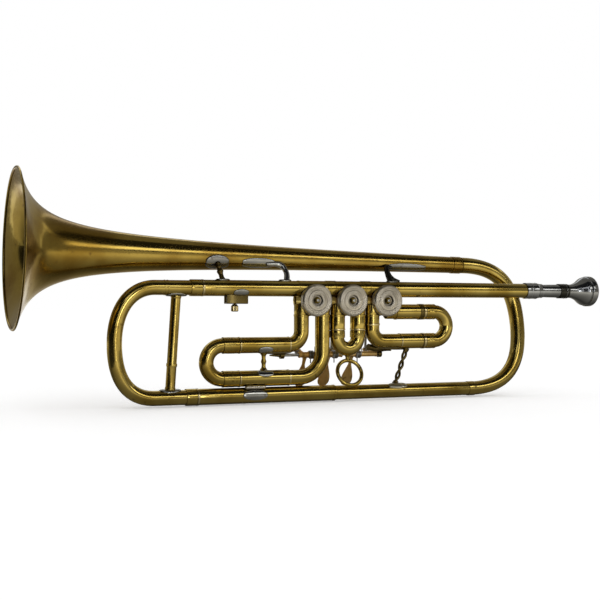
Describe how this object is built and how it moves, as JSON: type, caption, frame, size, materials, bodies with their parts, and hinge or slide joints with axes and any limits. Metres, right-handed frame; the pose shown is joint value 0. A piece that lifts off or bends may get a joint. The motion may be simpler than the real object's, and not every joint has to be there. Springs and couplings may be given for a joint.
{
  "type": "rotary valve trumpet",
  "caption": "Long-bell trumpet with rotary valves worked by sprung finger levers and links, pull-out tuning slides, a removable mouthpiece and a lyre socket.",
  "frame": {"origin": "middle of the instrument's box", "axes": "+X from the bell to the mouthpiece, +Y away from the screw caps to the side of the finger levers, +Z from the lower tube to the bell tail"},
  "size_m": [0.5286, 0.1262, 0.187],
  "materials": {
    "brass": "aged, unlacquered, polished",
    "bell_brass": "aged, unlacquered, blotchy patina",
    "lever_brass": "worn, reddish brown",
    "nickel_silver": "dull warm grey, turned rings",
    "silver_plate": "silver plate, polished",
    "steel": "bright",
    "bumper_cork": "matt"
  },
  "bodies": {
    "trumpet": {"bell": "bell_brass", "rear_bow": "brass", "lower_tube": "brass", "upper_sleeve": "brass", "lower_sleeve": "brass", "leadpipe": "brass", "receiver": "brass", "casing_1": "brass", "casing_2": "brass", "casing_3": "brass", "bearing_plate_1": "brass", "bearing_plate_2": "brass", "bearing_plate_3": "brass", "screw_cap_1": "nickel_silver", "screw_cap_2": "nickel_silver", "screw_cap_3": "nickel_silver", "bumper_1": "bumper_cork", "bumper_2": "bumper_cork", "bumper_3": "bumper_cork", "knuckle_1": "brass", "knuckle_2": "brass", "lever_axle": "steel", "spring_1": "steel", "spring_2": "steel", "spring_3": "steel", "axle_bracket_left": "nickel_silver", "axle_bracket_right": "nickel_silver", "slide_1_upper_sleeve": "brass", "slide_1_lower_leg": "brass", "slide_2_sleeve_left": "brass", "slide_2_sleeve_right": "brass", "slide_3_upper_leg": "brass", "slide_3_lower_leg": "brass", "slide_3_post": "brass", "bell_post": "nickel_silver", "bell_bracket_left": "nickel_silver", "bell_bracket_right": "nickel_silver", "twisted_brace": "brass", "valley_brace": "nickel_silver", "lyre_socket": "brass"},
    "main_slide": {"main_slide_bow": "brass", "main_slide_brace": "nickel_silver"},
    "slide_1": {"slide_1_bow": "brass"},
    "slide_2": {"slide_2_bow": "brass"},
    "slide_3": {"slide_3_bow": "brass"},
    "mouthpiece": {"mouthpiece": "silver_plate"},
    "lyre_thumbscrew": {"lyre_screw": "brass"},
    "lever_1": {"lever_1": "lever_brass"},
    "valve_1": {"rotor_1": "brass", "stop_arm_1": "steel"},
    "link_1": {"link_1": "steel"},
    "lever_2": {"lever_2": "lever_brass"},
    "valve_2": {"rotor_2": "brass", "stop_arm_2": "steel"},
    "link_2": {"link_2": "steel"},
    "lever_3": {"lever_3": "lever_brass"},
    "valve_3": {"rotor_3": "brass", "stop_arm_3": "steel"},
    "link_3": {"link_3": "steel"}
  },
  "joints": [
    {"name": "main_slide_pull", "type": "slide", "parent": "trumpet", "child": "main_slide", "axis": [-1, 0, 0], "range_m": [0, 0.022]},
    {"name": "slide_1_pull", "type": "slide", "parent": "trumpet", "child": "slide_1", "axis": [1, 0, 0], "range_m": [0, 0.018]},
    {"name": "slide_2_pull", "type": "slide", "parent": "trumpet", "child": "slide_2", "axis": [0, 0, -1], "range_m": [0, 0.007]},
    {"name": "slide_3_pull", "type": "slide", "parent": "trumpet", "child": "slide_3", "axis": [-1, 0, 0], "range_m": [0, 0.015]},
    {"name": "mouthpiece_pull", "type": "slide", "parent": "trumpet", "child": "mouthpiece", "axis": [1, 0, 0], "range_m": [0, 0.026]},
    {"name": "lyre_screw_turn", "type": "hinge", "parent": "trumpet", "child": "lyre_thumbscrew", "pos_m": [-0.08935, -0.01797, -0.01099], "axis": [0, 0, 1], "continuous": true},
    {"name": "lever_1_press", "type": "hinge", "parent": "trumpet", "child": "lever_1", "pos_m": [0.04207, -0.00397, -0.05499], "axis": [-1, 0, 0], "range_deg": [0, 30.73], "stiffness_Nm_per_rad": 0.04, "springref_deg": -22.92, "deforming": ["spring_1"]},
    {"name": "lever_2_press", "type": "hinge", "parent": "trumpet", "child": "lever_2", "pos_m": [0.00907, -0.00397, -0.05499], "axis": [-1, 0, 0], "range_deg": [0, 30.73], "stiffness_Nm_per_rad": 0.04, "springref_deg": -22.92, "deforming": ["spring_2"]},
    {"name": "lever_3_press", "type": "hinge", "parent": "trumpet", "child": "lever_3", "pos_m": [-0.02393, -0.00397, -0.05499], "axis": [-1, 0, 0], "range_deg": [0, 30.73], "stiffness_Nm_per_rad": 0.04, "springref_deg": -22.92, "deforming": ["spring_3"]},
    {"name": "valve_1_turn", "type": "hinge", "parent": "trumpet", "child": "valve_1", "pos_m": [0.04525, -0.01797, -0.00859], "axis": [0, -1, 0], "range_deg": [0, 90]},
    {"name": "link_1_swing", "type": "hinge", "parent": "valve_1", "child": "link_1", "pos_m": [0.04207, -0.00037, -0.00541], "axis": [0, 1, 0], "range_deg": [0, 90]},
    {"name": "valve_2_turn", "type": "hinge", "parent": "trumpet", "child": "valve_2", "pos_m": [0.01225, -0.01797, -0.00859], "axis": [0, -1, 0], "range_deg": [0, 90]},
    {"name": "link_2_swing", "type": "hinge", "parent": "valve_2", "child": "link_2", "pos_m": [0.00907, -0.00037, -0.00541], "axis": [0, 1, 0], "range_deg": [0, 90]},
    {"name": "valve_3_turn", "type": "hinge", "parent": "trumpet", "child": "valve_3", "pos_m": [-0.02075, -0.01797, -0.00859], "axis": [0, -1, 0], "range_deg": [0, 90]},
    {"name": "link_3_swing", "type": "hinge", "parent": "valve_3", "child": "link_3", "pos_m": [-0.02393, -0.00037, -0.00541], "axis": [0, 1, 0], "range_deg": [0, 90]}
  ],
  "couplings": [
    {"joint": "valve_1_turn", "follows": "lever_1_press", "ratio": 2.9285},
    {"joint": "link_1_swing", "follows": "lever_1_press", "ratio": 2.9285},
    {"joint": "valve_2_turn", "follows": "lever_2_press", "ratio": 2.9285},
    {"joint": "link_2_swing", "follows": "lever_2_press", "ratio": 2.9285},
    {"joint": "valve_3_turn", "follows": "lever_3_press", "ratio": 2.9285},
    {"joint": "link_3_swing", "follows": "lever_3_press", "ratio": 2.9285}
  ]
}
